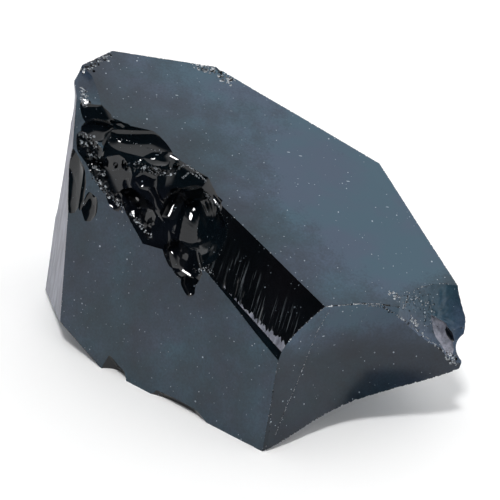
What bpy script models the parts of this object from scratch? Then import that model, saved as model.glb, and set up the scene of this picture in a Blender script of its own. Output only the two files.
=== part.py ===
"""Obsidian chunk: one broken lump of black volcanic glass, about 72 x 63 x 43 mm, in metres, +Z up.

The lump is one solid. A block is split along the flat fracture faces in FACES. Two long flat blows then
take off its edge between the top and the front, and hollow scars are struck all round it. Planes are
measured from the heart, a point inside the lump.
"""

import math

import bmesh
import bpy
from mathutils import Matrix, Vector, noise

MM = 0.001
BLOCK_SIDE = 200 * MM
HEART = Vector((0.585, -0.189, 20.0)) * MM
STRIP_THICKNESS = 6 * MM
STRIP_SINK = 0.15 * MM
TINY = 1e-6
GLASS_COLOUR = (0.016, 0.020, 0.024, 1.0)
GLASS_ROUGHNESS = 0.28
SHARP_ANGLE = math.radians(24)

# How finely a scar is made: its length in millimetres from which each count of (spokes, rings) is used.
SCAR_FINENESS = ((10, (26, 12)), (6, (20, 10)), (0, (15, 8)))
SCAR_OVERRUN = 1.12         # a scar runs this far past its rim, as a share of its size
LOBE = 0.16                 # how far an outline wanders in and out
CORNERING = 0.8             # how angular a broken outline is, from 0 to 1
FEWEST_SIDES = 5
SIDE_CHOICES = 3
WANDER = 1.3                # starts each outline at a point of its own
RIM_SWING = 0.9             # how fast an outline wanders

# A plane is (heading, tilt, distance). Heading is the compass direction that it looks in, in degrees from
# +X towards +Y. Tilt is how far it looks up. Distance is from the heart, in millimetres.
FACES = {
    "top": (-49.8, 70.1, 10.9),
    "front_left": (-128.2, 20.0, 15.1),
    "front_right": (-77.8, 13.7, 25.6),
    "left": (-166.9, 10.5, 28.6),
    "right_end": (21.3, -26.0, 25.8),
    "back": (91.4, 12.0, 27.3),
    "back_corner": (134.3, 12.0, 36.4),
    "back_right": (61.3, 4.0, 19.3),
    "right_back": (30.3, -8.0, 22.3),
    "back_left": (160.9, 8.0, 35.2),
    "left_underside": (-153.6, -37.1, 33.6),
    "underside": (0.0, -73.3, 19.8),
    "bottom": (0.0, -90.0, 20.0),
}

# Long flat blows: (plane, lowest corner, highest corner), in millimetres across and up the plane.
STRIPS = {
    "broken_floor": ((-114.5, 33.3, 11.7), (-24.0, -4.6), (-1.5, 14.0)),
    "band": ((-114.3, 44.0, 13.2), (-4.5, -24.0), (24.0, 12.0)),
    "ledge_dark": ((-123.7, 28.0, 14.75), (2.6, -22.0), (26.0, 0.0)),
    "ledge_grey": ((-118.9, 36.0, 14.12), (4.0, -24.0), (26.0, 0.0)),
}

# Scars: (plane, (across, up), (length, width, depth), roll, outline, bowl, strike).
# The plane is a face, on which the rim lies, or a plane of its own, which the floor touches.
# Across and up place its middle, in millimetres from the plane's point nearest the heart. Roll turns its
# length from across towards up. A broken outline is many-sided, a round one is not, and a soft scar fades
# out at its rim. Bowl is 2 for a round bowl, and more for a flatter floor with steeper sides. Strike
# moves the deepest point along the length, from 0 in the middle to 1 at the far end.
SCARS = {
    "front_hollow": ("front_right", (11.0, -15.0), (44.0, 32.0, 3.4), 68, "soft", 2, 0.0),
    "front_edge_flake": ("front_right", (-3.5, -10.8), (60.0, 14.0, 0.6), 64.5, "round", 2, 0.0),
    "corner_hollow": ((-62.0, 44.0, 18.7), (18.4, -23.2), (13.1, 12.7, 1.3), -31, "round", 2, 0.0),
    "corner_flat": ((-70.0, 30.0, 22.1), (24.7, -18.5), (10.4, 6.6, 0.9), -87, "round", 2, 0.0),
    "right_notch": ("right_end", (-30.7, 3.6), (5.5, 4.6, 1.0), 0, "round", 2, 0.0),
    "middle_flat": ((-140.0, 32.0, 17.5), (-11.2, -0.3), (19.7, 7.5, 0.7), -11, "broken", 5, 0.0),
    "long_scar_left": ((-115.0, 72.0, 14.9), (-17.8, 0.3), (13.7, 7.0, 0.9), 6, "broken", 5, 0.0),
    "long_scar_right": ((-82.0, 66.0, 12.0), (-13.8, 8.7), (12.5, 5.3, 0.8), -33, "broken", 5, 0.0),
    "oval_pit": ((-100.0, 58.0, 11.7), (-15.5, 7.3), (4.6, 3.3, 0.5), -1, "broken", 2, 0.0),
    "deep_scoop": ((-106.0, 54.0, 10.1), (-9.1, 0.4), (11.8, 13.0, 2.4), -3, "broken", 2, 0.0),
    "deep_flat": ((-140.0, 60.0, 10.4), (-3.7, -4.9), (8.6, 8.5, 0.5), 28, "broken", 5, 0.0),
    "fan": ((-160.0, 50.0, 8.9), (4.9, -3.3), (14.2, 8.5, 1.2), -14, "broken", 4, 0.0),
    "wedge": ((-106.0, 42.0, 9.3), (-7.6, -5.7), (10.4, 5.6, 0.9), -53, "broken", 4, 0.0),
    "wedge_oval": ((-146.0, 42.0, 10.8), (1.2, -8.0), (7.2, 3.7, 0.5), -16, "broken", 4, 0.0),
    "grey_flake": ((-146.0, 36.0, 15.6), (-7.5, -3.8), (10.4, 4.0, 0.5), -12, "broken", 4, 0.0),
    "scoop_top": ((-75.0, 72.0, 13.6), (-23.5, 25.0), (13.6, 5.5, 0.6), -84, "broken", 3, 0.0),
    "scoop_foot": ((-108.0, 40.0, 10.8), (-27.5, 14.0), (7.3, 4.9, 0.7), -4, "broken", 2, 0.0),
    "small_lens": ((-118.0, 66.0, 16.1), (-26.2, 1.3), (6.2, 4.2, 0.5), 25, "broken", 4, 0.0),
    "crush_floor": ((-120.0, 35.0, 13.1), (-26.2, 5.5), (7.5, 5.4, 0.5), -26, "broken", 3, 0.0),
    "left_pit": ((-106.0, 42.0, 9.4), (-22.5, 6.1), (5.2, 2.9, 0.5), 1, "broken", 2, 0.0),
    "middle_pit": ((-106.0, 42.0, 9.2), (-20.9, 4.4), (4.7, 2.7, 0.5), -21, "broken", 2, 0.0),
    "right_pit": ((-106.0, 42.0, 9.9), (-16.4, 5.2), (4.1, 3.0, 0.5), 2, "broken", 2, 0.0),
    "low_pit": ((-106.0, 42.0, 9.2), (-17.5, 0.4), (6.1, 3.1, 0.5), -21, "broken", 2, 0.0),
    "ridge_pit": ((-106.0, 42.0, 9.5), (-13.4, 1.9), (6.2, 1.9, 0.5), -56, "broken", 2, 0.0),
    "edge_lens": ((-145.0, 25.0, 20.7), (-21.1, -3.7), (12.2, 5.2, 0.6), -66, "broken", 3, 0.0),
    "edge_flake": ((-136.0, 30.0, 16.6), (-20.1, -5.6), (5.8, 3.4, 0.5), -88, "broken", 3, 0.0),
    "foot_chip": ("front_left", (-10.3, -27.0), (7.0, 4.5, 1.4), -40, "broken", 2, 0.0),
    "base_flake": ("front_left", (4.0, -27.5), (15.0, 4.5, 1.2), -3, "broken", 2, 0.0),
    "back_shell": ("back", (18.0, -12.0), (30.0, 22.0, 2.4), 75, "broken", 2, 0.3),
    "right_shell": ("back_right", (0.0, -1.0), (34.0, 20.0, 2.6), 30, "broken", 2, 0.3),
    "right_low_shell": ("back_right", (14.0, -12.0), (24.0, 16.0, 2.2), -55, "broken", 2, 0.2),
    "right_edge_flake": ("right_back", (-16.0, -2.0), (20.0, 11.0, 1.8), 15, "broken", 2, 0.3),
    "left_back_shell": ("back_left", (-8.0, -2.0), (34.0, 18.0, 2.4), 80, "broken", 2, 0.3),
    "left_back_flake": ("back_left", (-3.0, 12.0), (12.0, 9.0, 1.4), 60, "broken", 2, 0.2),
    "under_hollow": ("underside", (-2.0, 13.0), (30.0, 22.0, 2.2), 60, "broken", 2, 0.2),
    "base_hollow": ("bottom", (14.0, -26.0), (16.0, 9.0, 0.9), 20, "broken", 2, 0.2),
}


def plane_frame(plane):
    """X across the plane, Y up it, Z out of it, at its point nearest the heart."""
    heading, tilt, distance = plane
    heading, tilt = math.radians(heading), math.radians(tilt)
    level = math.cos(tilt)
    out = Vector((level * math.cos(heading), level * math.sin(heading), math.sin(tilt)))
    across = Vector((-math.sin(heading), math.cos(heading), 0))
    frame = Matrix((across, out.cross(across), out)).transposed().to_4x4()
    frame.translation = HEART + out * distance * MM
    return frame


def split_block():
    """A block parted along every fracture face in turn, keeping the side with the heart."""
    lump = bmesh.new()
    bmesh.ops.create_cube(lump, size=BLOCK_SIDE)
    for plane in FACES.values():
        frame = plane_frame(plane)
        whole = lump.verts[:] + lump.edges[:] + lump.faces[:]
        bmesh.ops.bisect_plane(
            lump, geom=whole, plane_co=frame.translation, plane_no=frame.col[2].xyz, clear_outer=True
        )
        rim = [edge for edge in lump.edges if edge.is_boundary]
        bmesh.ops.edgeloop_fill(lump, edges=rim)
    bmesh.ops.recalc_face_normals(lump, faces=lump.faces[:])
    return lump


def make_strip(name, cutters):
    plane, low, high = STRIPS[name]
    strip = bmesh.new()
    bmesh.ops.create_cube(strip, size=1)
    for vert in strip.verts:
        x = (low[0] + high[0]) / 2 + vert.co.x * (high[0] - low[0])
        y = (low[1] + high[1]) / 2 + vert.co.y * (high[1] - low[1])
        z = STRIP_THICKNESS if vert.co.z > 0 else -STRIP_SINK
        vert.co = Vector((x * MM, y * MM, z))
    bmesh.ops.transform(strip, matrix=plane_frame(plane), verts=strip.verts)
    return add_cutter(name, strip, cutters)


def outline(side, length, width, kind):
    """How far out the rim lies, as a share of the plain ellipse, on the side that the angle gives."""
    wander = length * WANDER + width
    around = Vector((math.cos(side), math.sin(side), 0)) * RIM_SWING
    reach = 1 + LOBE * noise.noise(around + Vector((wander, 0, 0)))
    if kind != "broken":
        return reach
    sides = FEWEST_SIDES + round(width * 10) % SIDE_CHOICES
    bend = (side + wander) % (math.tau / sides) - math.pi / sides
    return reach * (1 - CORNERING + CORNERING * math.sqrt(math.cos(math.pi / sides)) / math.cos(bend))


def floor_height(spread, depth, kind, bowl):
    """Height of the dish above its rim, at this share of the way out to the rim."""
    if kind == "soft":
        return math.copysign(depth * (1 - spread**2) ** 2, spread - 1)
    return depth * (spread**bowl - 1)


def shape_scar(scar, size, kind, bowl, strike):
    """Turns a unit ball into a cutter: a dish below, run on a little past its rim, and a dome above."""
    length, width, depth = size
    for vert in scar.verts:
        x, y, z = vert.co
        reach = math.hypot(x, y)
        rim = outline(math.atan2(y, x), length, width, kind)
        if z > TINY:
            x, y = x * SCAR_OVERRUN, y * SCAR_OVERRUN
            z = floor_height(SCAR_OVERRUN, depth, kind, bowl) + z * length / 2
        else:
            spread = SCAR_OVERRUN * math.atan2(reach, -z) / (math.pi / 2)
            stretch = spread / max(reach, TINY)
            x, y = x * stretch, y * stretch
            z = floor_height(spread, depth, kind, bowl)
        x += strike * (1 - min(SCAR_OVERRUN, math.hypot(x, y)))
        vert.co = Vector((x * rim * length / 2, y * rim * width / 2, z)) * MM


def make_scar(name, cutters):
    plane, (across, up), size, roll, kind, bowl, strike = SCARS[name]
    own = plane not in FACES
    spokes, rings = next(counts for longest, counts in SCAR_FINENESS if size[0] >= longest)
    scar = bmesh.new()
    bmesh.ops.create_uvsphere(scar, u_segments=spokes, v_segments=rings, radius=1)
    shape_scar(scar, size, kind, bowl, strike)
    place = Matrix.Translation(Vector((across, up, size[2] if own else 0)) * MM)
    turn = Matrix.Rotation(math.radians(roll), 4, "Z")
    frame = plane_frame(plane if own else FACES[plane])
    bmesh.ops.transform(scar, matrix=frame @ place @ turn, verts=scar.verts)
    return add_cutter(name, scar, cutters)


def add_object(name, shape, collection):
    mesh = bpy.data.meshes.new(name)
    shape.to_mesh(mesh)
    shape.free()
    thing = bpy.data.objects.new(name, mesh)
    collection.objects.link(thing)
    return thing


def add_cutter(name, shape, cutters):
    cutter = add_object(name, shape, cutters)
    cutter.display_type = "WIRE"
    cutter.hide_render = True
    return cutter


def add_collection(name):
    collection = bpy.data.collections.new(name)
    bpy.context.scene.collection.children.link(collection)
    return collection


def black_glass():
    material = bpy.data.materials.new("black_glass")
    material.use_nodes = True
    surface = material.node_tree.nodes["Principled BSDF"]
    surface.inputs["Base Color"].default_value = GLASS_COLOUR
    surface.inputs["Roughness"].default_value = GLASS_ROUGHNESS
    surface.inputs["Metallic"].default_value = 0.0
    return material


def strike(lump, cutter):
    cut = lump.modifiers.new(cutter.name, "BOOLEAN")
    cut.operation = "DIFFERENCE"
    cut.solver = "EXACT"
    cut.object = cutter


def main():
    for thing in list(bpy.data.objects):
        bpy.data.objects.remove(thing)
    pieces = add_collection("obsidian_chunk_pieces")
    cutters = add_collection("scar_cutters")
    cutters.hide_render = True
    lump = add_object("obsidian_chunk", split_block(), pieces)
    lump.data.materials.append(black_glass())
    for name in STRIPS:
        strike(lump, make_strip(name, cutters))
    for name in SCARS:
        strike(lump, make_scar(name, cutters))
    lump.data.shade_smooth()
    lump.data.set_sharp_from_angle(angle=SHARP_ANGLE)


main()
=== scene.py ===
import math
import random

import bmesh
import bpy
from mathutils import Matrix, Vector, noise


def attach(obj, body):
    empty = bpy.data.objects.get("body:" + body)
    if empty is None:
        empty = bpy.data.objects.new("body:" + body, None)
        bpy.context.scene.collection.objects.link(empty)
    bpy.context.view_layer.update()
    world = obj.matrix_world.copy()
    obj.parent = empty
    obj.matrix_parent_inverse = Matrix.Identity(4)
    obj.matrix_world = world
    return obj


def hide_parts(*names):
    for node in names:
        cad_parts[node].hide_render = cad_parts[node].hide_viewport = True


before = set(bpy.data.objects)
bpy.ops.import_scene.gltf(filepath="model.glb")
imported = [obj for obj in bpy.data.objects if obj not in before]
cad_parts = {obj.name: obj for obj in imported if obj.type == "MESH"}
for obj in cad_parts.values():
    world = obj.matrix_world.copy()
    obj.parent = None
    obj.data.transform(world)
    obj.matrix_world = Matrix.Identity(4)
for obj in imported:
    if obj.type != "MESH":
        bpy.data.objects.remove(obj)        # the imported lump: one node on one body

dice = random.Random(7)
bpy.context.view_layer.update()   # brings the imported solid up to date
mm = 0.001


# Small helpers for working as by hand.

def pick(piece):
    if bpy.context.object and bpy.context.object.mode != "OBJECT":
        bpy.ops.object.mode_set(mode="OBJECT")
    bpy.ops.object.select_all(action="DESELECT")
    piece.select_set(True)
    bpy.context.view_layer.objects.active = piece


def moveVerts(piece, shape):
    for vert in piece.data.vertices:
        vert.co = shape(vert.co)
    piece.data.update()


def putAt(piece, place):
    piece.matrix_world = place
    pick(piece)
    bpy.ops.object.transform_apply(location=True, rotation=True, scale=True)


# Camera, floor and light.

camera = {
    "place": (0.865, -258.899, 198.55),  # millimetres
    "lookDown": 35,                      # degrees below level
    "lens": 135,
}


def placeCamera():
    bpy.ops.object.camera_add(
        location=Vector(camera["place"]) * mm,
        rotation=(math.radians(90 - camera["lookDown"]), 0, 0),
    )
    shot = bpy.context.object
    shot.name = "camera"
    shot.data.lens = camera["lens"]
    shot.data.clip_start = 0.01
    bpy.context.scene.camera = shot
    bpy.context.scene.view_settings.view_transform = "Standard"


studio = {
    "darkSide": (-0.35, -0.75, 0.62),   # middle of the unlit part of the room
    "darkEdge": 0.50,                   # cosine where the dark begins
    "darkCore": 0.66,                   # cosine where it is full
    "darkness": 0.008,
    "dimEdge": -0.4,                    # cosine where the room starts to dim towards the dark
    "dimCore": 0.5,
    "brightness": 1.45,
    "dimness": 0.95,
    "lampSide": (-0.08, -0.12, 0.98),   # middle of the soft lamp overhead
    "lampEdge": 0.994,
    "lampCore": 0.997,
    "lampStrength": 50,
    "floorSize": 6.0,
    "floorTone": 0.97,
    "floorGlow": 0.05,
    "floorRoughness": 0.8,
    "floorShine": 0.1,
}


def spotIn(tree, where, side, edge, core, outside, inside):     # a round patch of the room, soft at its rim
    towards = tree.nodes.new("ShaderNodeVectorMath")
    towards.operation = "DOT_PRODUCT"
    towards.inputs[1].default_value = Vector(side).normalized()
    fade = tree.nodes.new("ShaderNodeMapRange")
    fade.interpolation_type = "SMOOTHSTEP"
    fade.inputs["From Min"].default_value = edge
    fade.inputs["From Max"].default_value = core
    fade.inputs["To Min"].default_value = outside
    fade.inputs["To Max"].default_value = inside
    tree.links.new(where.outputs["Generated"], towards.inputs[0])
    tree.links.new(towards.outputs["Value"], fade.inputs["Value"])
    return fade.outputs["Result"]


def lightStudio():
    room = bpy.data.worlds.new("paleStudio")
    bpy.context.scene.world = room
    room.use_nodes = True
    tree = room.node_tree
    where = tree.nodes.new("ShaderNodeTexCoord")
    walls = spotIn(
        tree, where, studio["darkSide"], studio["dimEdge"], studio["dimCore"],
        studio["brightness"], studio["dimness"],
    )
    dark = spotIn(
        tree, where, studio["darkSide"], studio["darkEdge"], studio["darkCore"], 1, studio["darkness"]
    )
    lamp = spotIn(
        tree, where, studio["lampSide"], studio["lampEdge"], studio["lampCore"], 0, studio["lampStrength"]
    )
    total = tree.nodes.new("ShaderNodeMath")
    total.operation = "MULTIPLY_ADD"
    tree.links.new(walls, total.inputs[0])
    tree.links.new(dark, total.inputs[1])
    tree.links.new(lamp, total.inputs[2])
    tree.links.new(total.outputs["Value"], tree.nodes["Background"].inputs["Strength"])
    tree.nodes["Background"].inputs["Color"].default_value = (1, 1, 1, 1)


def layFloor():
    bpy.ops.mesh.primitive_plane_add(size=studio["floorSize"])
    floor = bpy.context.object
    floor.name = "floor"
    paper = bpy.data.materials.new("palePaper")
    paper.use_nodes = True
    look = paper.node_tree.nodes["Principled BSDF"]
    tone = studio["floorTone"]
    look.inputs["Base Color"].default_value = (tone, tone, tone, 1)
    look.inputs["Roughness"].default_value = studio["floorRoughness"]
    look.inputs["Specular IOR Level"].default_value = studio["floorShine"]
    look.inputs["Emission Color"].default_value = (1, 1, 1, 1)
    look.inputs["Emission Strength"].default_value = studio["floorGlow"]
    floor.data.materials.append(paper)


# Finishes of the glass. Shared effects are node groups with named inputs and outputs.

def newGroup(name, inputs, outputs):
    tree = bpy.data.node_groups.new(name, "ShaderNodeTree")
    for socket, kind, value in inputs:
        made = tree.interface.new_socket(socket, in_out="INPUT", socket_type="NodeSocket" + kind)
        if value is not None:
            made.default_value = value
    for socket, kind in outputs:
        tree.interface.new_socket(socket, in_out="OUTPUT", socket_type="NodeSocket" + kind)
    return tree, tree.nodes.new("NodeGroupInput").outputs, tree.nodes.new("NodeGroupOutput").inputs


def addNode(tree, kind, **settings):
    node = tree.nodes.new("ShaderNode" + kind)
    for name, value in settings.items():
        setattr(node, name, value)
    return node


def feed(tree, socket, value):      # a link if the value is a socket, else a plain value
    if isinstance(value, bpy.types.NodeSocket):
        tree.links.new(value, socket)
    else:
        socket.default_value = value


def maths(tree, operation, *values, clamp=False):
    node = addNode(tree, "Math", operation=operation, use_clamp=clamp)
    for socket, value in zip(node.inputs, values):
        feed(tree, socket, value)
    return node.outputs["Value"]


def noiseAt(tree, position, scale, detail=2, roughness=0.5):
    node = addNode(tree, "TexNoise")
    feed(tree, node.inputs["Vector"], position)
    feed(tree, node.inputs["Scale"], scale)
    feed(tree, node.inputs["Detail"], detail)
    feed(tree, node.inputs["Roughness"], roughness)
    return node.outputs["Fac"]


def stretched(tree, position, turn, scale):
    node = addNode(tree, "Mapping")
    feed(tree, node.inputs["Vector"], position)
    feed(tree, node.inputs["Rotation"], [math.radians(angle) for angle in turn])
    feed(tree, node.inputs["Scale"], scale)
    return node.outputs["Vector"]


def mixed(tree, factor, first, second):
    node = addNode(tree, "Mix", data_type="RGBA")
    feed(tree, node.inputs["Factor"], factor)
    feed(tree, node.inputs["A"], first)
    feed(tree, node.inputs["B"], second)
    return node.outputs["Result"]


def ranged(tree, value, fromLow, fromHigh, toLow, toHigh, smooth=True):
    node = addNode(tree, "MapRange", interpolation_type="SMOOTHSTEP" if smooth else "LINEAR")
    feed(tree, node.inputs["Value"], value)
    feed(tree, node.inputs["From Min"], fromLow)
    feed(tree, node.inputs["From Max"], fromHigh)
    feed(tree, node.inputs["To Min"], toLow)
    feed(tree, node.inputs["To Max"], toHigh)
    return node.outputs["Result"]


# The dust. A noise is (scale, detail, roughness). A range is (low, high) of what is read, then (low, high) of
# what it turns into. A kind of speck is (turn, stretch, spacing, size, share of the spots that hold one).

dust = {
    "speckKinds": [
        ((0, 0, 0), (1, 0.8, 1), 620, 0.085, 0.5),
        ((10, 40, 0), (1, 1, 0.8), 1500, 0.12, 0.4),
        ((0, 0, 35), (0.15, 1, 1), 900, 0.065, 0.3),
        ((0, 30, -50), (0.13, 1, 1), 800, 0.06, 0.3),
        ((60, 0, 95), (0.17, 1, 1), 850, 0.06, 0.3),
    ],
    "speckSmallest": 0.35,      # sizes run from this to this plus one, times the size of its kind
    "speckFade": 0.7,           # where a speck starts to fade, as a share of its reach
    "speckFaintest": 0.25,
    "speckColour": (0.42, 0.50, 0.58, 1),
    "speckRoughness": 0.4,
    "glass": (0.003, 0.004, 0.006, 1),
    "teal": (0.040, 0.088, 0.128, 1),
    "purple": (0.050, 0.079, 0.126, 1),
    "castTurn": (20, 0, 40),
    "castStretch": (60, 95, 80),
    "castNoise": (1, 3, 0.6),
    "castRange": (0.38, 0.62, 0, 1),
    "cloudNoise": (38, 3, 0.55),
    "cloudRange": (0.3, 0.7, 0.6, 1.2),
    "patchNoise": (210, 4, 0.6),
    "patchRange": (0.25, 0.75, 0.75, 1.25),
    "patchRoughness": 0.12,
    "patchHeight": 0.3,
    "grainNoise": (2600, 2, 0.6),
    "grainRange": (0.3, 0.7, 0.85, 1.15),
    "roughness": 0.12,
}


def speckGroup():       # dots of dust, each of its own size, on a share of the spots
    tree, given, out = newGroup(
        "dustSpecks",
        [
            ("Position", "Vector", None), ("Spacing", "Float", None), ("Size", "Float", None),
            ("Share", "Float", None),
        ],
        [("Mask", "Float")],
    )
    spots = addNode(tree, "TexVoronoi")
    feed(tree, spots.inputs["Vector"], given["Position"])
    feed(tree, spots.inputs["Scale"], given["Spacing"])
    luck = addNode(tree, "SeparateColor")
    feed(tree, luck.inputs["Color"], spots.outputs["Color"])
    size = maths(tree, "ADD", luck.outputs["Red"], dust["speckSmallest"])
    size = maths(tree, "MULTIPLY", given["Size"], size)
    dot = ranged(tree, maths(tree, "DIVIDE", spots.outputs["Distance"], size), dust["speckFade"], 1, 1, 0)
    kept = maths(tree, "LESS_THAN", luck.outputs["Green"], given["Share"])
    strength = ranged(tree, luck.outputs["Blue"], 0, 1, dust["speckFaintest"], 1)
    strength = maths(tree, "MULTIPLY", kept, strength)
    feed(tree, out["Mask"], maths(tree, "MULTIPLY", dot, strength))
    return tree


def filmGroup():        # the thin bluish film of dust, thicker in clouds, with a teal and a purple cast
    tree, given, out = newGroup(
        "dustFilm",
        [
            ("Position", "Vector", None), ("Glass", "Color", dust["glass"]), ("Teal", "Color", dust["teal"]),
            ("Purple", "Color", dust["purple"]), ("Amount", "Float", 1.0), ("Specks", "Float", 1.0),
        ],
        [("Colour", "Color"), ("Roughness", "Float"), ("Height", "Float")],
    )
    position = given["Position"]
    clouds = ranged(tree, noiseAt(tree, position, *dust["cloudNoise"]), *dust["cloudRange"])
    patches = noiseAt(tree, position, *dust["patchNoise"])
    grain = ranged(tree, noiseAt(tree, position, *dust["grainNoise"]), *dust["grainRange"])
    drift = stretched(tree, position, dust["castTurn"], dust["castStretch"])
    cast = ranged(tree, noiseAt(tree, drift, *dust["castNoise"]), *dust["castRange"])
    thickness = maths(tree, "MULTIPLY", clouds, ranged(tree, patches, *dust["patchRange"]))
    thickness = maths(tree, "MULTIPLY", thickness, grain)
    # On the top and front finishes the amount also carries their painted sheen and shade.
    thickness = maths(tree, "MULTIPLY", thickness, given["Amount"])
    colour = mixed(tree, thickness, given["Glass"], mixed(tree, cast, given["Teal"], given["Purple"]))
    masks = []
    for turn, stretch, spacing, size, share in dust["speckKinds"]:
        specks = tree.nodes.new("ShaderNodeGroup")
        specks.node_tree = groups["specks"]
        feed(tree, specks.inputs["Position"], stretched(tree, position, turn, stretch))
        feed(tree, specks.inputs["Spacing"], spacing)
        feed(tree, specks.inputs["Size"], size)
        feed(tree, specks.inputs["Share"], share)
        masks.append(specks.outputs["Mask"])
    mask = masks[0]
    for other in masks[1:]:
        mask = maths(tree, "MAXIMUM", mask, other)
    mask = maths(tree, "MULTIPLY", mask, given["Specks"], clamp=True)
    speckRoughness = maths(tree, "MULTIPLY_ADD", mask, dust["speckRoughness"], dust["roughness"])
    feed(tree, out["Colour"], mixed(tree, mask, colour, dust["speckColour"]))
    feed(tree, out["Roughness"], maths(tree, "MULTIPLY_ADD", patches, dust["patchRoughness"], speckRoughness))
    feed(tree, out["Height"], maths(tree, "MULTIPLY_ADD", patches, dust["patchHeight"], mask))
    return tree


def newGlass(name):
    glass = bpy.data.materials.new(name)
    glass.use_nodes = True
    tree = glass.node_tree
    return glass, tree, tree.nodes["Principled BSDF"], addNode(tree, "TexCoord").outputs["Object"]


def addFilm(tree, position, **amounts):
    film = tree.nodes.new("ShaderNodeGroup")
    film.node_tree = groups["film"]
    feed(tree, film.inputs["Position"], position)
    for name, value in amounts.items():
        feed(tree, film.inputs[name], value)
    return film.outputs


def addBump(tree, look, height, strength, depth):
    bump = addNode(tree, "Bump")
    feed(tree, bump.inputs["Height"], height)
    feed(tree, bump.inputs["Strength"], strength)
    feed(tree, bump.inputs["Distance"], depth * mm)
    feed(tree, look.inputs["Normal"], bump.outputs["Normal"])


def alongAt(tree, position, way):       # how far a point lies along a direction, in millimetres
    along = addNode(tree, "VectorMath", operation="DOT_PRODUCT")
    feed(tree, along.inputs[0], position)
    feed(tree, along.inputs[1], Vector(way) / mm)
    return along.outputs["Value"]


dustAndPaintedLightLook = {
    "evenAmount": 0.7,
    "topWay": (0.8, 0.6, 0),            # painted sheen: the film on the top thickens this way, over millimetres, painting the top lighter towards the back
    "topRange": (-10, 17, 0.35, 1.7),
    "rimWay": (0.6, -0.8, 0),           # and thins again near the right corner, painting the top darker there
    "rimRange": (24, 32, 1, 0.25),
    "frontWay": (0, 0, 1),              # painted shade: the film on the front is thinner lower down, painting the front darker towards the floor
    "frontRange": (12, 22, 0.25, 1.3),
    "shine": 0.4,
    "bump": 0.25,
    "bumpDepth": 0.02,                  # millimetres
}


def evenFilm(tree, position):
    return dustAndPaintedLightLook["evenAmount"]


# Painted sheen: a thicker film paints the top lighter towards the back, and a thinner one darker near the right
# corner.
def topFilmAndPaintedSheen(tree, position):
    inwards = alongAt(tree, position, dustAndPaintedLightLook["topWay"])
    inwards = ranged(tree, inwards, *dustAndPaintedLightLook["topRange"], smooth=False)
    rim = ranged(tree, alongAt(tree, position, dustAndPaintedLightLook["rimWay"]), *dustAndPaintedLightLook["rimRange"])
    return maths(tree, "MULTIPLY", inwards, rim)


# Painted shade: a thinner film paints the front darker lower down.
def frontFilmAndPaintedShade(tree, position):
    return ranged(tree, alongAt(tree, position, dustAndPaintedLightLook["frontWay"]), *dustAndPaintedLightLook["frontRange"])


# The film's amount comes from filmAt; on the top and front it paints sheen and shade along with the dust.
def dustedGlass(name, filmAt):
    glass, tree, look, position = newGlass(name)
    film = addFilm(tree, position, Amount=filmAt(tree, position))
    feed(tree, look.inputs["Base Color"], film["Colour"])
    feed(tree, look.inputs["Roughness"], film["Roughness"])
    look.inputs["Specular IOR Level"].default_value = dustAndPaintedLightLook["shine"]
    addBump(tree, look, film["Height"], dustAndPaintedLightLook["bump"], dustAndPaintedLightLook["bumpDepth"])
    return glass


frostAndPaintedReflectionLook = {
    "specks": 0.6,
    "stretch": (900, 900, 60),
    "noise": (1, 4, 0.65),
    "colourRange": (0.3, 0.7, 0, 1),
    # Dark and pale streaks; the pale stands for frost and a painted grazing reflection together.
    "dark": (0.13, 0.13, 0.16, 1),
    "pale": (0.43, 0.43, 0.5, 1),
    "frost": 0.75,                      # how much of the frost and its painted reflection shows over the film
    "roughnessRange": (0.3, 0.7, 0.38, 0.55),
    "bump": 0.5,
    "bumpDepth": 0.08,
}


def frostAndPaintedReflectionGlass():     # the rough left side: pale, with streaks down it; the pale is frost together with a painted grazing reflection
    glass, tree, look, position = newGlass("frostAndPaintedReflectionGlass")
    drawn = stretched(tree, position, (0, 0, 0), frostAndPaintedReflectionLook["stretch"])
    streaks = noiseAt(tree, drawn, *frostAndPaintedReflectionLook["noise"])
    film = addFilm(tree, position, Specks=frostAndPaintedReflectionLook["specks"])
    paleness = ranged(tree, streaks, *frostAndPaintedReflectionLook["colourRange"])
    # The pale streaks are frost and a painted grazing reflection.
    frost = mixed(tree, paleness, frostAndPaintedReflectionLook["dark"], frostAndPaintedReflectionLook["pale"])
    feed(tree, look.inputs["Base Color"], mixed(tree, frostAndPaintedReflectionLook["frost"], film["Colour"], frost))
    feed(tree, look.inputs["Roughness"], ranged(tree, streaks, *frostAndPaintedReflectionLook["roughnessRange"]))
    addBump(tree, look, streaks, frostAndPaintedReflectionLook["bump"], frostAndPaintedReflectionLook["bumpDepth"])
    return glass


freshLook = {
    "film": {
        "Glass": (0.0008, 0.0011, 0.0015, 1),
        "Teal": (0.004, 0.009, 0.013, 1),
        "Purple": (0.006, 0.008, 0.013, 1),
        "Amount": 0.7,
        "Specks": 0.7,
    },
    "smearNoise": (500, 2),
    "roughnessRange": (0.3, 0.7, 0.03, 0.07),
    "bumpNoise": (350, 2),
    "bump": 0.12,
    "bumpDepth": 0.04,
}


def freshGlass():       # black and glossy
    glass, tree, look, position = newGlass("freshGlass")
    film = addFilm(tree, position, **freshLook["film"])
    smears = noiseAt(tree, position, *freshLook["smearNoise"])
    feed(tree, look.inputs["Base Color"], film["Colour"])
    feed(tree, look.inputs["Roughness"], ranged(tree, smears, *freshLook["roughnessRange"]))
    swells = noiseAt(tree, position, *freshLook["bumpNoise"])
    addBump(tree, look, swells, freshLook["bump"], freshLook["bumpDepth"])
    return glass


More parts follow.
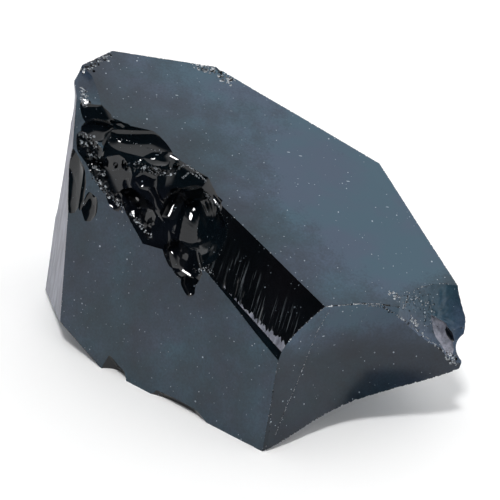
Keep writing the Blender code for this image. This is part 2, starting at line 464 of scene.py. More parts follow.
linedLook = {
    "film": {
        "Glass": (0.0008, 0.0011, 0.0015, 1),
        "Teal": (0.004, 0.006, 0.008, 1),
        "Purple": (0.006, 0.006, 0.008, 1),
        "Amount": 0.6,
        "Specks": 0.5,
    },
    "turn": (0, 0, 24.3),               # lines the noise up with the band
    "lineStretch": (3400, 160, 110),
    "lineNoise": (1, 3, 0.6),
    "lineRange": (0.54, 0.66, 0, 1),
    "gapStretch": (350, 200, 200),
    "gapNoise": (1, 2),
    "gapRange": (0.4, 0.6, 0.15, 1),
    "fadeWay": (0.796, 0.403, 0.719),   # up the band, where the lines fade out
    "fadeRange": (10, 14, 1, 0.04),
    "lineColour": (0.07, 0.08, 0.09, 1),
    "lineRoughness": 0.3,
    "roughness": 0.06,
}


def linedGlass():       # the band: black, with fine pale lines down it
    glass, tree, look, position = newGlass("linedGlass")
    film = addFilm(tree, position, **linedLook["film"])
    across = stretched(tree, position, linedLook["turn"], (1, 1, 1))
    lines = stretched(tree, across, (0, 0, 0), linedLook["lineStretch"])
    lines = ranged(tree, noiseAt(tree, lines, *linedLook["lineNoise"]), *linedLook["lineRange"])
    gaps = stretched(tree, across, (0, 0, 0), linedLook["gapStretch"])
    gaps = ranged(tree, noiseAt(tree, gaps, *linedLook["gapNoise"]), *linedLook["gapRange"])
    fade = ranged(tree, alongAt(tree, position, linedLook["fadeWay"]), *linedLook["fadeRange"])
    mask = maths(tree, "MULTIPLY", maths(tree, "MULTIPLY", lines, gaps), fade)
    roughness = maths(tree, "MULTIPLY_ADD", mask, linedLook["lineRoughness"], linedLook["roughness"])
    feed(tree, look.inputs["Base Color"], mixed(tree, mask, film["Colour"], linedLook["lineColour"]))
    feed(tree, look.inputs["Roughness"], roughness)
    return glass


crushAndPaintedHighlightLook = {
    "noise": (2200, 3, 0.7),
    "colourRange": (0.4, 0.62, 0, 1),
    "dark": (0.05, 0.06, 0.075, 1),
    # The pale is crushed glass, and also painted highlight where pale chips stand in for glints.
    "pale": (0.62, 0.66, 0.7, 1),
    "roughnessRange": (0.3, 0.7, 0.2, 0.45),
}


def crushAndPaintedHighlightGlass():     # whitish where the glass is shattered; along some paths its pale chips are painted highlights
    glass, tree, look, position = newGlass("crushAndPaintedHighlightGlass")
    bits = noiseAt(tree, position, *crushAndPaintedHighlightLook["noise"])
    paleness = ranged(tree, bits, *crushAndPaintedHighlightLook["colourRange"])
    feed(tree, look.inputs["Base Color"], mixed(tree, paleness, crushAndPaintedHighlightLook["dark"], crushAndPaintedHighlightLook["pale"]))
    feed(tree, look.inputs["Roughness"], ranged(tree, bits, *crushAndPaintedHighlightLook["roughnessRange"]))
    return glass


# The lump. Faces are (heading, tilt, distance): the way a face looks in degrees from +X towards +Y, how far
# it looks up, and how far it lies from the heart in millimetres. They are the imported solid's own.

lump = {
    "heart": (0.585, -0.189, 20.0),
    "blockSide": 200,    # before it is split, well past every face
    "excess": 0.5,       # left on for the skins to take off
    "skinOver": 2.5,     # how far a skin runs past its face
    "swellSize": 14,     # how far apart the swells of a face are
    "swellShift": 3.7,   # moves each face on to its own part of the noise
    "sharpAngle": 34,    # degrees, beyond which an edge inside one cut is crisp
}

faces = {
    "top": (-49.8, 70.1, 10.9),
    "frontLeft": (-128.2, 20.0, 15.1),
    "frontRight": (-77.8, 13.7, 25.6),
    "left": (-166.9, 10.5, 28.6),
    "rightEnd": (21.3, -26.0, 25.8),
    "back": (91.4, 12.0, 27.3),
    "backCorner": (134.3, 12.0, 36.4),
    "backRight": (61.3, 4.0, 19.3),
    "rightBack": (30.3, -8.0, 22.3),
    "backLeft": (160.9, 8.0, 35.2),
    "leftUnderside": (-153.6, -37.1, 33.6),
    "underside": (0.0, -73.3, 19.8),
    "bottom": (0.0, -90.0, 20.0),
}

# Skins: grid step across and up the face, swell of the surface, all in millimetres, and the finish.
skins = {
    "top": (0.7, 0.7, 0.10, "dustAndPaintedSheenTop"),
    "frontLeft": (0.7, 0.7, 0.10, "dusted"),
    "frontRight": (1.5, 1.5, 0.05, "dustAndPaintedShadeFront"),
    "left": (0.5, 1.0, 0.12, "frostAndPaintedReflection"),
    "rightEnd": (1.0, 1.0, 0.10, "dusted"),
    "back": (0.9, 0.9, 0.15, "dusted"),
    "backCorner": (0.9, 0.9, 0.15, "dusted"),
    "backRight": (0.9, 0.9, 0.15, "dusted"),
    "rightBack": (0.9, 0.9, 0.15, "dusted"),
    "backLeft": (0.9, 0.9, 0.15, "dusted"),
    "leftUnderside": (1.0, 1.0, 0.10, "dusted"),
    "underside": (1.0, 1.0, 0.10, "dusted"),
}


def frameOf(way):          # X across a plane, Y up it, Z out of it, at its point nearest the heart
    heading, tilt, distance = way
    heading, tilt = math.radians(heading), math.radians(tilt)
    level = math.cos(tilt)
    out = Vector((level * math.cos(heading), level * math.sin(heading), math.sin(tilt)))
    across = Vector((-math.sin(heading), math.cos(heading), 0))
    place = Matrix((across, out.cross(across), out)).transposed().to_4x4()
    place.translation = (Vector(lump["heart"]) + out * distance) * mm
    return place


def faceFrame(name):
    return frameOf(faces[name])


def splitBlock():
    bpy.ops.mesh.primitive_cube_add(size=lump["blockSide"] * mm)
    block = bpy.context.object
    block.name = "obsidianLump"
    bpy.ops.object.mode_set(mode="EDIT")
    for name in faces:
        place = faceFrame(name)
        excess = lump["excess"] if name in skins else 0
        out = place.col[2].xyz
        bpy.ops.mesh.select_all(action="SELECT")
        bpy.ops.mesh.bisect(
            plane_co=place.translation + out * excess * mm,
            plane_no=out,
            use_fill=True,
            clear_outer=True,
        )
    bpy.ops.object.mode_set(mode="OBJECT")
    return block


blows = []          # what each cut was, by its number
shattered = set()   # the numbers of those that leave flat-sided chips


def bite(block, cutter, name, *finish):     # takes the cutter off the block and leaves its finish there
    mark = cutter.data.attributes.new("blow", "INT", "FACE")
    for value in mark.data:
        value.value = len(blows)
    blows.append(name)
    for kind in finish:
        cutter.data.materials.append(finishes[kind])
    pick(block)
    cut = block.modifiers.new("cut", "BOOLEAN")
    cut.operation = "DIFFERENCE"
    cut.solver = "MANIFOLD"
    cut.material_mode = "TRANSFER"
    cut.object = cutter
    bpy.ops.object.modifier_apply(modifier="cut")
    bpy.data.objects.remove(cutter)


def outlineOnFace(block, place):       # corners of the block's face, in that face's own frame
    inside = place.inverted()
    out = place.col[2].xyz
    side = max(block.data.polygons, key=lambda side: side.normal.dot(out))
    return [inside @ block.data.vertices[index].co for index in side.vertices]


def addSlab(low, high, steps, thickness, shape, place):     # a thick sheet, its underside shaped
    size = high - low
    middle = (low + high) / 2
    bpy.ops.mesh.primitive_grid_add(
        x_subdivisions=math.ceil(size.x / steps[0]), y_subdivisions=math.ceil(size.y / steps[1]), size=1
    )
    slab = bpy.context.object
    bpy.ops.object.mode_set(mode="EDIT")
    bpy.ops.mesh.extrude_region_move(TRANSFORM_OT_translate={"value": (0, 0, 1)})
    bpy.ops.mesh.select_all(action="SELECT")
    bpy.ops.mesh.normals_make_consistent(inside=False)
    bpy.ops.object.mode_set(mode="OBJECT")

    def lay(co):
        x, y = middle.x + co.x * size.x, middle.y + co.y * size.y
        return Vector((x, y, thickness if co.z > 0.5 else shape(x, y))) * mm

    moveVerts(slab, lay)
    putAt(slab, place)
    return slab


def skinFace(block, name):
    stepAcross, stepUp, swell, finish = skins[name]
    place = faceFrame(name)
    corners = outlineOnFace(block, place)
    over = lump["skinOver"]
    low = Vector([min(corner[axis] for corner in corners) / mm - over for axis in (0, 1)])
    high = Vector([max(corner[axis] for corner in corners) / mm + over for axis in (0, 1)])
    seed = Vector((len(blows) * lump["swellShift"], 0, 0))

    def shape(x, y):
        return (noise.noise(Vector((x, y, 0)) / lump["swellSize"] + seed) - 1) * swell / 2

    bite(block, addSlab(low, high, (stepAcross, stepUp), over, shape, place), name, finish)


# Long flat blows along the edge between the top and the front: the broken floor on the left, the glossy band
# with fine lines down it, and the narrow ledge below the band. Low and high are millimetres across and up.

strips = {
    "brokenFloor": {
        "way": (-114.5, 33.3, 11.7), "low": (-24.0, -4.6), "high": (-1.5, 14.0), "steps": (0.5, 0.5),
        "thickness": 6.0, "hackle": 0.1, "glass": "fresh",
    },
    "band": {
        "way": (-114.3, 44.0, 13.2), "low": (-4.5, -24.0), "high": (24.0, 12.0), "steps": (0.16, 0.6),
        "thickness": 6.0, "hackle": 0.2, "glass": "lined",
    },
    "ledgeDark": {
        "way": (-123.7, 28.0, 14.75), "low": (2.6, -22.0), "high": (26.0, 0.0), "steps": (2, 2),
        "thickness": 6.0, "hackle": 0.02, "glass": "fresh",
    },
    "ledgeGrey": {
        "way": (-118.9, 36.0, 14.12), "low": (4.0, -24.0), "high": (26.0, 0.0), "steps": (2, 2),
        "thickness": 6.0, "hackle": 0.02, "glass": "frostAndPaintedReflection",
    },
}


hackleLines = {
    "shift": 5.1,
    "noises": [(1.6, 0.1, 0), (3, 0.15, 4)],    # how fast each changes across and up, and its level
    "lean": 0.3,            # the lines fan out: they lean by this at the left
    "leanFrom": 4,          # which starts this far left of the middle
    "leanOver": 14,         # and they stand upright this far to the right of that
    "fadeFrom": -2,         # they fade out towards a slanting line near the top
    "fadeSlope": 0.56,
    "fadeOver": 3,
    "faintest": 0.12,
}


def strikeStrip(block, name):
    strip = strips[name]
    seed = Vector((hackleLines["shift"], 0, 0))
    highest = len(hackleLines["noises"])

    def shape(x, y):
        fan = x + hackleLines["lean"] * y * (1 - (x + hackleLines["leanFrom"]) / hackleLines["leanOver"])
        fade = (hackleLines["fadeFrom"] - hackleLines["fadeSlope"] * x - y) / hackleLines["fadeOver"]
        fade = min(1, max(hackleLines["faintest"], fade))
        lines = 0
        for across, up, level in hackleLines["noises"]:
            lines += noise.noise(Vector((fan * across, y * up, level)) + seed)
        return (lines * fade - highest) * strip["hackle"] / 2

    low, high = Vector(strip["low"]), Vector(strip["high"])
    slab = addSlab(low, high, strip["steps"], strip["thickness"], shape, frameOf(strip["way"]))
    bite(block, slab, name, strip["glass"])


# Scars. On a face, at (across, up) millimetres from its point nearest the heart: length, width and depth,
# roll of the length from across towards up, and strike, which moves the deepest point towards the far end.
# A scar with a way of its own has its floor on that plane. Ripples are (count, height) and hackles the same,
# rough is (size, height) of its grain, bowl is how flat its floor is and sides how many its rim has.

scars = {
    "frontHollow": {
        "on": "frontRight", "at": (11, -15), "size": (44, 32, 3.4), "roll": 68, "soft": True,
        "sides": 0, "glass": "dustAndPaintedShadeFront",
    },
    "frontEdgeFlake": {
        "on": "frontRight", "at": (-3.5, -10.8), "size": (60, 14, 0.6), "roll": 64.5, "sides": 0,
        "glass": "dustAndPaintedShadeFront",
    },
    "cornerHollow": {
        "way": (-62, 44, 18.7), "at": (18.4, -23.2), "size": (13.1, 12.7, 1.3), "roll": -31,
        "glass": "dusted", "rough": (0.8, 0.12), "sides": 0,
    },
    "cornerFlat": {
        "way": (-70, 30, 22.1), "at": (24.7, -18.5), "size": (10.4, 6.6, 0.9), "roll": -87, "bowl": 2,
        "glass": "dusted", "sides": 0,
    },
    "rightNotch": {
        "on": "rightEnd", "at": (-30.7, 3.6), "size": (5.5, 4.6, 1.0), "roll": 0, "sides": 0,
        "glass": "dusted",
    },
    "lilacFlute": {
        "way": (-80, 50, 10.5), "at": (27.9, -23.3), "size": (8.2, 2.4, 0.5), "roll": -68,
        "glass": "frostAndPaintedReflection",
    },
    "upperSpot": {"way": (-106, 42, 3.9), "at": (34.6, -8.9), "size": (2.5, 1.1, 0.3), "roll": -49},
    "lowerSpot": {"way": (-106, 42, 2.5), "at": (36.6, -10.9), "size": (3.5, 1.1, 0.3), "roll": -46},
    "middleFlat": {
        "way": (-140, 32, 17.5), "at": (-11.2, -0.3), "size": (19.7, 7.5, 0.7), "roll": -11, "bowl": 5,
    },
    "longScarLeft": {
        "way": (-115, 72, 14.9), "at": (-17.8, 0.3), "size": (13.7, 7.0, 0.9), "roll": 6, "bowl": 5,
    },
    "longScarRight": {
        "way": (-82, 66, 12.0), "at": (-13.8, 8.7), "size": (12.5, 5.3, 0.8), "roll": -33, "bowl": 5,
    },
    "ovalPit": {"way": (-100, 58, 11.7), "at": (-15.5, 7.3), "size": (4.6, 3.3, 0.5), "roll": -1},
    "deepScoop": {"way": (-106, 54, 10.1), "at": (-9.1, 0.4), "size": (11.8, 13.0, 2.4), "roll": -3},
    "deepFlat": {
        "way": (-140, 60, 10.4), "at": (-3.7, -4.9), "size": (8.6, 8.5, 0.5), "roll": 28, "bowl": 5,
    },
    "fan": {
        "way": (-160, 50, 8.9), "at": (4.9, -3.3), "size": (14.2, 8.5, 1.2), "roll": -14, "bowl": 4,
        "hackles": (38, 0.05),
    },
    "wedge": {"way": (-106, 42, 9.3), "at": (-7.6, -5.7), "size": (10.4, 5.6, 0.9), "roll": -53, "bowl": 4},
    "wedgeOval": {
        "way": (-146, 42, 10.8), "at": (1.2, -8.0), "size": (7.2, 3.7, 0.5), "roll": -16, "bowl": 4,
    },
    "foldPit": {
        "way": (-110, 30, 11.4), "at": (-4.6, -8.0), "size": (4.2, 2.8, 0.5), "roll": -51, "bowl": 3,
        "ripples": (3, 0.06),
    },
    "greyFlake": {
        "way": (-146, 36, 15.6), "at": (-7.5, -3.8), "size": (10.4, 4.0, 0.5), "roll": -12, "bowl": 4,
    },
    "scoopTop": {
        "way": (-75, 72, 13.6), "at": (-23.5, 25.0), "size": (13.6, 5.5, 0.6), "roll": -84, "bowl": 3,
        "glass": "dusted",
    },
    "scoopFoot": {"way": (-108, 40, 10.8), "at": (-27.5, 14.0), "size": (7.3, 4.9, 0.7), "roll": -4},
    "scoopGlint": {
        "way": (-90, 56, 10.4), "at": (-27.1, 20.7), "size": (4.5, 1.8, 0.2), "roll": -78, "bowl": 6,
    },
    "rimGlint": {
        "way": (-92, 57, 11.7), "at": (-9.9, 6.6), "size": (4.9, 1.5, 0.2), "roll": -32, "bowl": 5,
        "hackles": (16, 0.03),
    },
    "bendGlint": {
        "way": (-93, 58, 11.5), "at": (-5.6, 1.4), "size": (3.8, 1.6, 0.2), "roll": -43, "bowl": 5,
        "hackles": (12, 0.03),
    },
    "smallLens": {
        "way": (-118, 66, 16.1), "at": (-26.2, 1.3), "size": (6.2, 4.2, 0.5), "roll": 25, "bowl": 4,
    },
    "crushFloor": {
        "way": (-120, 35, 13.1), "at": (-26.2, 5.5), "size": (7.5, 5.4, 0.5), "roll": -26, "bowl": 3,
    },
    "firstNotch": {"way": (-100, 25, 4.2), "at": (-22.5, 17.1), "size": (3.1, 2.1, 0.5), "roll": -27},
    "secondNotch": {"way": (-100, 25, 4.6), "at": (-20.9, 16.3), "size": (2.8, 1.8, 0.5), "roll": -23},
    "leftPit": {"way": (-106, 42, 9.4), "at": (-22.5, 6.1), "size": (5.2, 2.9, 0.5), "roll": 1},
    "middlePit": {"way": (-106, 42, 9.2), "at": (-20.9, 4.4), "size": (4.7, 2.7, 0.5), "roll": -21},
    "rightPit": {"way": (-106, 42, 9.9), "at": (-16.4, 5.2), "size": (4.1, 3.0, 0.5), "roll": 2},
    "lowPit": {"way": (-106, 42, 9.2), "at": (-17.5, 0.4), "size": (6.1, 3.1, 0.5), "roll": -21},
    "farPit": {"way": (-106, 42, 8.3), "at": (-21.9, 1.0), "size": (3.8, 2.1, 0.4), "roll": -36},
    "ridgePit": {"way": (-106, 42, 9.5), "at": (-13.4, 1.9), "size": (6.2, 1.9, 0.5), "roll": -56},
    "edgeLens": {
        "way": (-145, 25, 20.7), "at": (-21.1, -3.7), "size": (12.2, 5.2, 0.6), "roll": -66, "bowl": 3,
    },
    "edgeLensDark": {"way": (-106, 28, 5.2), "at": (-28.3, 3.9), "size": (7.9, 1.7, 0.4), "roll": 89},
    "edgeFlake": {
        "way": (-136, 30, 16.6), "at": (-20.1, -5.6), "size": (5.8, 3.4, 0.5), "roll": -88, "bowl": 3,
    },
    "footChip": {"on": "frontLeft", "at": (-10.3, -27), "size": (7, 4.5, 1.4), "roll": -40},
    "baseFlake": {"on": "frontLeft", "at": (4, -27.5), "size": (15, 4.5, 1.2), "roll": -3},
    "pointChip": {"on": "frontLeft", "at": (19, -28.3), "size": (6, 3.2, 0.9), "roll": -10},
    "backShell": {"on": "back", "at": (18, -12), "size": (30, 22, 2.4), "roll": 75, "strike": 0.3},
    "rightShell": {"on": "backRight", "at": (0, -1), "size": (34, 20, 2.6), "roll": 30, "strike": 0.3},
    "rightLowShell": {
        "on": "backRight", "at": (14, -12), "size": (24, 16, 2.2), "roll": -55, "strike": 0.2,
    },
    "rightEdgeFlake": {
        "on": "rightBack", "at": (-16, -2), "size": (20, 11, 1.8), "roll": 15, "strike": 0.3,
    },
    "leftBackShell": {"on": "backLeft", "at": (-8, -2), "size": (34, 18, 2.4), "roll": 80, "strike": 0.3},
    "leftBackFlake": {"on": "backLeft", "at": (-3, 12), "size": (12, 9, 1.4), "roll": 60, "strike": 0.2},
    "underHollow": {"on": "underside", "at": (-2, 13), "size": (30, 22, 2.2), "roll": 60, "strike": 0.2},
    "baseHollow": {"on": "bottom", "at": (14, -26), "size": (16, 9, 0.9), "roll": 20, "strike": 0.2},
}


dish = {
    "over": 1.12,           # how far a dish runs on past its rim
    "sharpBowl": 2,
    "fewestSides": 5,
    "sideChoices": 3,
    "round": 0.2,           # how much of the rim is round
    "cornered": 0.8,        # and how much straight-sided
    "stray": 0.16,          # how far the rim strays, as a share of the reach
    "strayTurns": 0.9,
    "wander": 1.3,          # gives each length its own rim
    "fineTimes": 2.3,       # the second, finer grain of a rough floor
    "fineShare": 0.6,
    "grain": 0.4,           # mesh of a small scar, in millimetres
    "coarseGrain": 0.9,
    "coarseFrom": 18,
    "girth": 1.57,          # way round a dish over its length plus width
    "fewestSegments": 24,
    "fewestRings": 8,
    "tiny": 1e-6,
    "level": 1e-5,
}


def makeScar(name):
    scar = scars[name]
    length, width, depth = scar["size"]
    strike = scar.get("strike", 0)
    rippleCount, rippleHeight = scar.get("ripples", (0, 0))
    hackleCount, hackleHeight = scar.get("hackles", (0, 0))
    roughSize, roughHeight = scar.get("rough", (1, 0))
    grain = dish["grain"] if length < dish["coarseFrom"] else dish["coarseGrain"]
    bpy.ops.mesh.primitive_uv_sphere_add(
        segments=max(dish["fewestSegments"], round((length + width) * dish["girth"] / grain)),
        ring_count=2 * max(dish["fewestRings"], round(length / 2 / grain)),
        radius=1,
    )
    ball = bpy.context.object
    over = dish["over"]
    wander = Vector((length * dish["wander"] + width, 0, 0))
    bowl = scar.get("bowl", dish["sharpBowl"])
    sides = scar.get("sides", dish["fewestSides"] + round(width * 10) % dish["sideChoices"])

    def rimAt(side):        # how far out the rim is, on the side that faces that way
        strayed = noise.noise(Vector((math.cos(side), math.sin(side), 0)) * dish["strayTurns"] + wander)
        lobe = 1 + dish["stray"] * strayed
        if sides:
            bend = (side + wander.x) % (math.tau / sides) - math.pi / sides
            lobe *= dish["round"] + dish["cornered"] * math.sqrt(math.cos(math.pi / sides)) / math.cos(bend)
        return lobe

    def floorAt(spread):    # height of the dish, from the middle at 0 to the rim at 1 and beyond
        if scar.get("soft"):
            return math.copysign(depth * (1 - spread ** 2) ** 2, spread - 1)
        return depth * (spread ** bowl - 1)

    def shape(co):
        reach = math.hypot(co.x, co.y)
        side = math.atan2(co.y, co.x)
        lobe = rimAt(side)
        if co.z > dish["level"]:
            x, y = co.x * over, co.y * over
            z = floorAt(over) + co.z * length / 2
        else:
            spread = over * math.atan2(reach, -co.z) / (math.pi / 2)
            stretch = spread / max(reach, dish["tiny"])
            x, y = co.x * stretch, co.y * stretch
            z = floorAt(spread)
            z += rippleHeight * math.sin(rippleCount * math.tau * spread) * spread
            z += hackleHeight * math.sin(hackleCount * side) * spread ** 3
            if roughHeight:
                spot = Vector((x * length / 2, y * width / 2, 0)) / roughSize
                fine = dish["fineShare"] * noise.noise(spot * dish["fineTimes"])
                z += roughHeight * (noise.noise(spot) + fine)
        x += strike * (1 - min(over, math.hypot(x, y)))
        return Vector((x * lobe * length / 2, y * lobe * width / 2, z)) * mm

    moveVerts(ball, shape)
    roll = Matrix.Rotation(math.radians(scar["roll"]), 4, "Z")
    across, up = scar["at"]
    place = frameOf(scar["way"]) if "way" in scar else faceFrame(scar["on"])
    rise = depth if "way" in scar else 0
    spot = Matrix.Translation(Vector((across, up, rise)) * mm)
    putAt(ball, place @ spot @ roll)
    return ball


# Chips: small broken bits, each a rough flat-sided cutter. They are struck in rounds, so that the chips of
# one round stay clear of each other.

chips = {
    "rounds": 5,
    "rough": 0.28,              # how far a corner strays, as a share of the size
    "strays": (-1, 0.6),        # inwards and outwards, times the above
    "width": (0.55, 1),         # as a share of the length
    "height": (0.35, 0.8),
    "rise": 0.25,               # how far the middle stands out of the glass, as a share of the size
    "edgeSizes": (0.5, 1),      # chips along an edge are drawn smaller by this
    "scatter": 0.5,             # spread of the chips of a zone, times the zone's own
    "paleShare": 0.4,
}

# A zone's path lies on a face, in millimetres across and up. Its chips fall round it as seen by the camera.

crushAndPaintedHighlight = {
    "crustShards": {
        "on": "top", "path": [(-18.9, 16.4), (-15.3, 15), (-12.3, 12), (-9.4, 11.5)], "spread": 1.1,
        "count": 34, "size": (0.5, 1.3), "pale": 0.04,
    },
    "diagShards": {
        "on": "frontLeft", "path": [(-22.7, 5.4), (-18.5, 3.3), (-13, 1.8), (-9.5, 0.7)], "spread": 0.9,
        "count": 40, "size": (0.5, 1.3), "pale": 0.04,
    },
    "leftShards": {
        "on": "frontLeft", "path": [(-26.6, 9.3), (-24.6, 8.3), (-22.5, 6.9)], "spread": 0.9,
        "count": 30, "size": (0.4, 1.1), "pale": 0.08,
    },
    "leftCrush": {
        "on": "frontLeft",
        "path": [(-27.3, 9.2), (-25.2, 10.2), (-23.6, 9), (-24.5, 7), (-22.5, 6.2), (-20.5, 5)],
        "spread": 1.0, "count": 260, "size": (0.2, 0.6),
    },
    "frontCrush": {
        "on": "frontLeft",
        "path": [(-23.9, 5.3), (-21.2, 3.6), (-18.2, 2.4), (-13.9, 1.1), (-8.6, -1.1)], "spread": 0.6,
        "count": 230, "size": (0.12, 0.45),
    },
    "crustCrush": {
        "on": "top", "path": [(-15, 15.9), (-13.4, 13.3), (-11.7, 11.5), (-9.8, 11)], "spread": 0.8,
        "count": 200, "size": (0.12, 0.45),
    },
    "sparkleCrush": {
        "on": "frontLeft", "path": [(0.5, -3.4), (3.4, -1.8), (5.1, -2.8)], "spread": 0.4, "count": 50,
        "size": (0.12, 0.35),
    },
    "scoopCrush": {
        "on": "top", "path": [(-11.3, 37.1), (-9.3, 36.2), (-6.8, 37.3), (-4.1, 37.5)], "spread": 0.8,
        "count": 110, "size": (0.15, 0.5),
    },
    "backCrush": {
        "on": "top", "path": [(8.4, 28.8), (10.3, 26.3), (11.7, 23.3)], "spread": 1.2, "count": 220,
        "size": (0.2, 0.7), "pale": 0.75,
    },
    "cornerCrush": {
        "on": "frontRight",
        "path": [(12.4, -3.2), (16, -4.4), (18.4, -6.1), (22.1, -9.7), (25.9, -13.6), (28.2, -16.4)],
        "spread": 0.25, "count": 110, "size": (0.1, 0.26), "pale": 0.7,
    },
    "hackleCrush": {
        "on": "top", "path": [(6.5, -29), (10.1, -28.7), (9.5, -31.8), (6, -34.4)], "spread": 1.6,
        "count": 140, "size": (0.08, 0.2),
    },
    "streakCrush": {
        "on": "top", "path": [(5.9, -29.4), (8, -28)], "spread": 0.25, "count": 40, "size": (0.12, 0.3),
        "pale": 0.9,
    },
    "patchCrush": {
        "on": "frontRight", "path": [(20.8, -7.1), (21.4, -8.4)], "spread": 0.4, "count": 35,
        "size": (0.15, 0.4), "pale": 0.9,
    },
    "bitsCrush": {
        "on": "top", "path": [(6, -26), (6.2, -27.3)], "spread": 0.5, "count": 30, "size": (0.12, 0.35),
        "pale": 0.9,
    },
    # Painted highlight: a light line down the front right face, drawn with pale chips.
    "crestCrush": {
        "on": "frontRight",
        "path": [(7.7, -3.4), (5.3, -7.2), (3, -12.6), (1.4, -16.4), (-0.1, -19.3), (-2.2, -24.2)],
        "spread": 0.05, "count": 280, "size": (0.06, 0.13), "pale": 0.8,
    },
    # Painted highlights: pale chips stand in for glints of the lamp along these paths.
    "scoopStreak": {
        "on": "top", "path": [(-12.7, 33), (-14.1, 31.4), (-14.9, 29.3)], "spread": 0.6, "count": 110,
        "size": (0.15, 0.35), "pale": 0.97,
    },
    "sickleCrush": {
        "on": "top", "path": [(-9.1, 11.4), (-7.4, 11.4), (-6.8, 9.4), (-6.6, 6.9)], "spread": 0.14,
        "count": 90, "size": (0.14, 0.28), "pale": 0.97,
    },
    "sickleFoot": {
        "on": "top", "path": [(-9.8, 9.3), (-7.8, 9.7), (-7.3, 8)], "spread": 0.14, "count": 50,
        "size": (0.14, 0.28), "pale": 0.97,
    },
    "bendCrush": {
        "on": "top", "path": [(-8.4, 5), (-8.3, 3.5), (-8, 1.7)], "spread": 0.3, "count": 90,
        "size": (0.14, 0.32), "pale": 0.97,
    },
    # Painted highlight along a rim, drawn with chips of which most are pale.
    "rimCrush": {
        "on": "top", "path": [(-15.5, 22.2), (-13.2, 20.3), (-11.2, 17.5), (-9.5, 15)], "spread": 0.15,
        "count": 50, "size": (0.06, 0.15), "pale": 0.6,
    },
    "tipCrush": {
        "on": "frontRight", "path": [(26.7, -14.2), (28, -15.7)], "spread": 0.6, "count": 60,
        "size": (0.15, 0.45), "pale": 0.7,
    },
}

# Worn edges: chips along the edges between two cuts, one every so many millimetres.

wear = {
    "ridgeWear": {
        "between": [("top", "frontHollow"), ("top", "frontEdgeFlake"), ("top", "frontRight")],
        "every": 0.16, "size": (0.12, 0.42), "pale": 0.6,
    },
    "bandRidgeWear": {
        "between": [("band", "frontEdgeFlake"), ("band", "frontHollow"), ("band", "frontRight")],
        "every": 0.25, "size": (0.1, 0.35), "pale": 0.6,
    },
    "bandTopWear": {
        "between": [("top", "band")], "every": 0.9, "size": (0.07, 0.18), "pale": 0.5,
    },
    "ledgeWear": {
        "between": [("ledgeDark", "ledgeGrey")], "every": 0.3, "size": (0.05, 0.14), "pale": 0.8,
    },
    "bandFrontWear": {
        "between": [("frontLeft", "band"), ("frontLeft", "ledgeDark"), ("ledgeGrey", "band")],
        "every": 0.8, "size": (0.08, 0.22), "pale": 0.5,
    },
    "frontWear": {
        "between": [("frontLeft", "frontRight"), ("frontLeft", "frontEdgeFlake"), ("frontLeft", "frontHollow")],
        "every": 0.5, "size": (0.1, 0.3),
    },
    "hollowWear": {
        "between": [("frontHollow", "frontEdgeFlake")], "every": 0.9, "size": (0.08, 0.2),
    },
    "footWear": {
        "between": [("frontHollow", "underside"), ("frontHollow", "bottom"), ("frontRight", "underside")],
        "every": 0.35, "size": (0.15, 0.5),
    },
    "baseWear": {
        "between": [("frontLeft", "underside"), ("frontLeft", "bottom"), ("frontLeft", "leftUnderside")],
        "every": 0.4, "size": (0.2, 0.65), "pale": 0.1,
    },
    "cornerWear": {
        "between": [("cornerHollow", "top"), ("cornerFlat", "top"), ("cornerFlat", "cornerHollow")],
        "every": 0.5, "size": (0.08, 0.25),
    },
    "leftWear": {
        "between": [("frontLeft", "left"), ("left", "edgeLens")], "every": 0.6, "size": (0.1, 0.3),
    },
    "leftTopWear": {
        "between": [("top", "left"), ("scoopTop", "left")], "every": 0.5, "size": (0.1, 0.3),
        "pale": 0.6,
    },
    "backWear": {
        "between": [("top", "back"), ("top", "backCorner")], "every": 0.7, "size": (0.1, 0.35),
    },
    "rightWear": {
        "between": [("top", "backRight"), ("top", "rightBack")], "every": 0.6, "size": (0.1, 0.35),
    },
    "fanWear": {
        "between": [("fan", "band"), ("wedge", "frontLeft"), ("deepScoop", "band")], "every": 0.4,
        "size": (0.08, 0.25),
    },
}


def spotsAlongPath(block, zone):
    place = faceFrame(zone["on"])
    eye = Vector(camera["place"]) * mm
    path = zone["path"]
    spots = []
    for _ in range(zone["count"]):
        step = dice.uniform(0, len(path) - 1)
        start = min(int(step), len(path) - 2)
        point = Vector(path[start]).lerp(Vector(path[start + 1]), step - start)
        point += Vector((dice.gauss(0, chips["scatter"]), dice.gauss(0, chips["scatter"]))) * zone["spread"]
        aim = place @ Vector((point.x * mm, point.y * mm, 0)) - eye
        struck, spot, normal, _ = block.ray_cast(eye, aim.normalized())
        if struck:
            spots.append((spot, normal, dice.uniform(*zone["size"])))
    return spots


def spotsAlongEdge(block, edge):
    mark = block.data.attributes["blow"].data
    sides = {}
    for face in block.data.polygons:
        for key in face.edge_keys:
            sides.setdefault(key, []).append(face.index)
    wanted = [set(pair) for pair in edge["between"]]
    spots = []
    for key, touching in sorted(sides.items()):
        if len(touching) != 2 or {blows[mark[index].value] for index in touching} not in wanted:
            continue
        start, end = [block.data.vertices[index].co for index in key]
        normal = sum((block.data.polygons[index].normal for index in touching), Vector()).normalized()
        chance = (end - start).length / (edge["every"] * mm)
        for _ in range(int(chance + dice.random())):
            spot = start.lerp(end, dice.random())
            size = dice.uniform(*edge["size"]) * dice.uniform(*chips["edgeSizes"])
            spots.append((spot, normal, size))
    return spots


def sortRounds(spots):      # spots that would touch go into separate rounds, and those left over go
    rounds = [[] for _ in range(chips["rounds"])]
    for spot, normal, size in spots:
        for batch in rounds:
            if all((spot - other).length > (size + otherSize) * mm for other, _, otherSize in batch):
                batch.append((spot, normal, size))
                break
    return [batch for batch in rounds if batch]


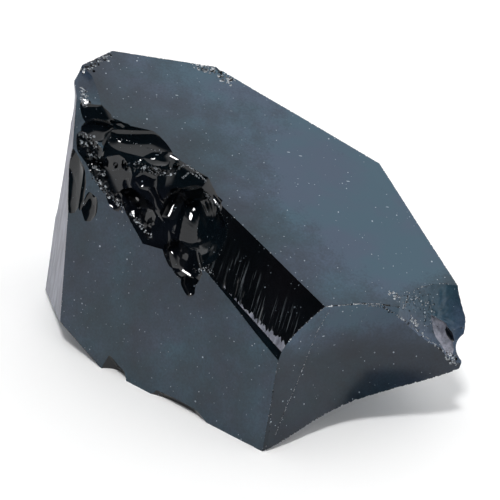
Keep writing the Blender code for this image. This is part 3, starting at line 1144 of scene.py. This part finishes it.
def makeChips(batch, pale):
    bpy.ops.mesh.primitive_ico_sphere_add(subdivisions=1, radius=1)
    model = bpy.context.object
    corners = [vert.co.copy() for vert in model.data.vertices]
    sides = [tuple(face.vertices) for face in model.data.polygons]
    bpy.data.objects.remove(model)
    points, faceList, kinds = [], [], []
    for spot, normal, size in batch:
        turn = Vector([dice.gauss(0, 1) for _ in range(3)]).to_track_quat("Z", "Y").to_matrix()
        squash = Vector((1, dice.uniform(*chips["width"]), dice.uniform(*chips["height"])))
        first = len(points)
        centre = spot + normal * size * chips["rise"] * mm
        for corner in corners:
            rough = 1 + chips["rough"] * dice.uniform(*chips["strays"])
            points.append(centre + turn @ (corner * squash) * rough * size * mm)
        faceList += [tuple(first + index for index in side) for side in sides]
        kinds += [int(dice.random() < pale)] * len(sides)
    mesh = bpy.data.meshes.new("chips")
    mesh.from_pydata(points, [], faceList)
    mesh.polygons.foreach_set("material_index", kinds)
    cutter = bpy.data.objects.new("chips", mesh)
    bpy.context.collection.objects.link(cutter)
    return cutter


def strikeChips(block, name, spots, pale):
    for batch in sortRounds(spots):
        shattered.add(len(blows))
        bite(block, makeChips(batch, pale), name, "fresh", "crushAndPaintedHighlight")


def sharpenRims(block):        # crisp wherever two cuts meet
    shape = bmesh.new()
    shape.from_mesh(block.data)
    mark = shape.faces.layers.int["blow"]
    limit = math.radians(lump["sharpAngle"])
    for face in shape.faces:
        face.smooth = True
    for edge in shape.edges:
        sides = edge.link_faces
        same = len(sides) == 2 and sides[0][mark] == sides[1][mark]
        edge.smooth = same and sides[0][mark] not in shattered and edge.calc_face_angle(0) < limit
    shape.to_mesh(block.data)
    shape.free()


placeCamera()
lightStudio()
layFloor()
groups = {"specks": speckGroup()}
groups["film"] = filmGroup()
finishes = {
    "dusted": dustedGlass("dustedGlass", evenFilm),
    "dustAndPaintedSheenTop": dustedGlass("dustAndPaintedSheenTopGlass", topFilmAndPaintedSheen),
    "dustAndPaintedShadeFront": dustedGlass("dustAndPaintedShadeFrontGlass", frontFilmAndPaintedShade),
    "frostAndPaintedReflection": frostAndPaintedReflectionGlass(),
    "fresh": freshGlass(),
    "lined": linedGlass(),
    "crushAndPaintedHighlight": crushAndPaintedHighlightGlass(),
}
print("studio and finishes made:", len(finishes))
block = splitBlock()
block.data.attributes.new("blow", "INT", "FACE")
blows.append("block")
print("block split:", len(block.data.polygons), "faces")
for name in skins:
    skinFace(block, name)
for name in strips:
    strikeStrip(block, name)
print("skins taken off:", len(block.data.polygons))
for name in scars:
    bite(block, makeScar(name), name, scars[name].get("glass", "fresh"))
print("scars struck:", len(block.data.polygons))
for name, edge in wear.items():
    strikeChips(block, name, spotsAlongEdge(block, edge), edge.get("pale", chips["paleShare"]))
for name, zone in crushAndPaintedHighlight.items():
    strikeChips(block, name, spotsAlongPath(block, zone), zone.get("pale", chips["paleShare"]))
print("chips struck:", len(block.data.polygons))
sharpenRims(block)
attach(block, "root")
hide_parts("obsidian_chunk")
